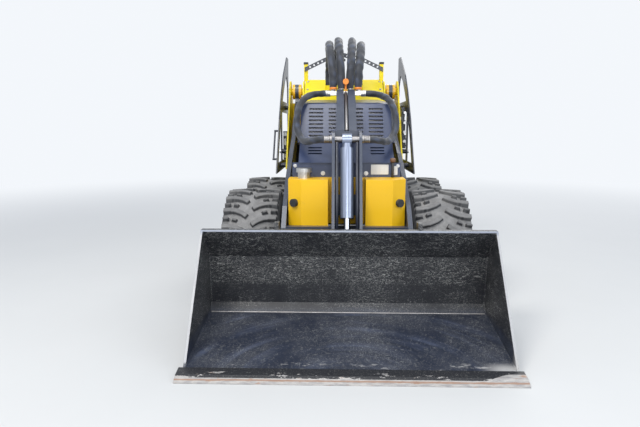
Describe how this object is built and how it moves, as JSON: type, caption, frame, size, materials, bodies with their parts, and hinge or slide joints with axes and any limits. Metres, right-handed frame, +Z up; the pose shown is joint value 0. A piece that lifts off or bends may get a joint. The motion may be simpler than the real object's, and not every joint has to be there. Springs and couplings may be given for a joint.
{
  "type": "mini wheel loader",
  "caption": "Stand-on mini wheel loader with a lifting boom, a tilting front bucket, hoses arching over the hood and an operator's platform behind.",
  "frame": {"origin": "on the ground, in the middle of the machine's length and width", "axes": "+X to the right as seen from the front, +Y to the rear (the bucket is at -Y), +Z up"},
  "size_m": [1.15, 1.92, 1.2759],
  "materials": {
    "yellow_paint": "satin",
    "black_paint": "satin",
    "worn_paint": "worn",
    "bare_steel": "worn",
    "cut_steel": "worn and rusty",
    "chromed_rod": "polished",
    "tyre_rubber": "dusty",
    "hose_rubber": "satin",
    "stop_rubber": "matt",
    "rim_paint": "satin",
    "engine_block": "matt",
    "silver_metal": "satin",
    "orange_plastic": "satin",
    "black_plastic": "matt"
  },
  "bodies": {
    "chassis": {"chassis_frame": "black_paint", "wheel_motors": "black_paint", "tower_left": "yellow_paint", "tower_right": "yellow_paint", "boom_pins": "bare_steel", "front_cowl": "yellow_paint", "boom_stops": "stop_rubber", "filler_cap": "silver_metal", "hood": "black_paint", "engine": "engine_block", "console_panel": "yellow_paint", "console": "black_paint", "rail_posts": "yellow_paint", "grab_rail": "black_paint", "control_levers": "black_plastic", "platform": "black_paint", "knee_pad": "stop_rubber", "guard_left": "black_paint", "guard_right": "black_paint", "bulkhead": "black_paint", "post_caps": "black_plastic", "side_box": "black_paint", "valve_block": "black_paint", "guard_handle": "black_paint"},
    "wheel_front_left": {"tyre_front_left": "tyre_rubber", "rim_front_left": "rim_paint"},
    "wheel_front_right": {"tyre_front_right": "tyre_rubber", "rim_front_right": "rim_paint"},
    "wheel_rear_left": {"tyre_rear_left": "tyre_rubber", "rim_rear_left": "rim_paint"},
    "wheel_rear_right": {"tyre_rear_right": "tyre_rubber", "rim_rear_right": "rim_paint"},
    "boom": {"arm_left": "black_paint", "arm_right": "black_paint", "cross_member": "black_paint", "tilt_bracket": "black_paint", "tilt_pin": "bare_steel", "hose_mast": "black_paint", "manifold": "silver_metal", "manifold_knob": "orange_plastic", "loop_hose_left": "hose_rubber", "loop_hose_right": "hose_rubber", "arch_hose_1": "hose_rubber", "arch_hose_2": "hose_rubber", "arch_hose_3": "hose_rubber", "arch_hose_4": "hose_rubber"},
    "bucket": {"bucket_shell": "worn_paint", "cutting_edge": "cut_steel", "hitch_frame": "black_paint"},
    "tilt_barrel": {"tilt_barrel": "black_paint"},
    "tilt_rod": {"tilt_rod": "chromed_rod"},
    "lift_barrel_left": {"lift_barrel_left": "black_paint"},
    "lift_rod_left": {"lift_rod_left": "chromed_rod"},
    "lift_barrel_right": {"lift_barrel_right": "black_paint"},
    "lift_rod_right": {"lift_rod_right": "chromed_rod"}
  },
  "joints": [
    {"name": "wheel_spin_front_left", "type": "hinge", "parent": "chassis", "child": "wheel_front_left", "pos_m": [-0.425, -0.095, 0.266], "axis": [1, 0, 0], "continuous": true},
    {"name": "wheel_spin_front_right", "type": "hinge", "parent": "chassis", "child": "wheel_front_right", "pos_m": [0.425, -0.095, 0.266], "axis": [1, 0, 0], "continuous": true},
    {"name": "wheel_spin_rear_left", "type": "hinge", "parent": "chassis", "child": "wheel_rear_left", "pos_m": [-0.425, 0.48, 0.266], "axis": [1, 0, 0], "continuous": true},
    {"name": "wheel_spin_rear_right", "type": "hinge", "parent": "chassis", "child": "wheel_rear_right", "pos_m": [0.425, 0.48, 0.266], "axis": [1, 0, 0], "continuous": true},
    {"name": "boom_lift", "type": "hinge", "parent": "chassis", "child": "boom", "pos_m": [0, 0.545, 1.02], "axis": [-1, 0, 0], "range_deg": [0, 82], "deforming": ["arch_hose_1", "arch_hose_2", "arch_hose_3", "arch_hose_4"]},
    {"name": "bucket_tilt", "type": "hinge", "parent": "boom", "child": "bucket", "pos_m": [0, -0.402, 0.14], "axis": [1, 0, 0], "range_deg": [-22, 110]},
    {"name": "tilt_swing", "type": "hinge", "parent": "boom", "child": "tilt_barrel", "pos_m": [0, -0.272, 0.768], "axis": [-1, 0, 0], "range_deg": [-2, 6]},
    {"name": "tilt_stroke", "type": "slide", "parent": "tilt_barrel", "child": "tilt_rod", "axis": [0, -0.2747, -0.9615], "range_m": [-0.033, 0.156]},
    {"name": "lift_swing_left", "type": "hinge", "parent": "chassis", "child": "lift_barrel_left", "pos_m": [-0.268, 0.68, 0.35], "axis": [1, 0, 0], "range_deg": [-1, 6]},
    {"name": "lift_stroke_left", "type": "slide", "parent": "lift_barrel_left", "child": "lift_rod_left", "axis": [0, -0.465, 0.8853], "range_m": [-0.002, 0.346]},
    {"name": "lift_swing_right", "type": "hinge", "parent": "chassis", "child": "lift_barrel_right", "pos_m": [0.268, 0.68, 0.35], "axis": [1, 0, 0], "range_deg": [-1, 6]},
    {"name": "lift_stroke_right", "type": "slide", "parent": "lift_barrel_right", "child": "lift_rod_right", "axis": [0, -0.465, 0.8853], "range_m": [-0.002, 0.346]}
  ],
  "couplings": [
    {"joint": "tilt_swing", "follows": "bucket_tilt", "ratio": 0.04},
    {"joint": "tilt_stroke", "follows": "bucket_tilt", "m_per_rad": 0.08},
    {"joint": "lift_swing_left", "follows": "boom_lift", "ratio": 0.06},
    {"joint": "lift_stroke_left", "follows": "boom_lift", "m_per_rad": 0.2406},
    {"joint": "lift_swing_right", "follows": "boom_lift", "ratio": 0.06},
    {"joint": "lift_stroke_right", "follows": "boom_lift", "m_per_rad": 0.2406}
  ]
}
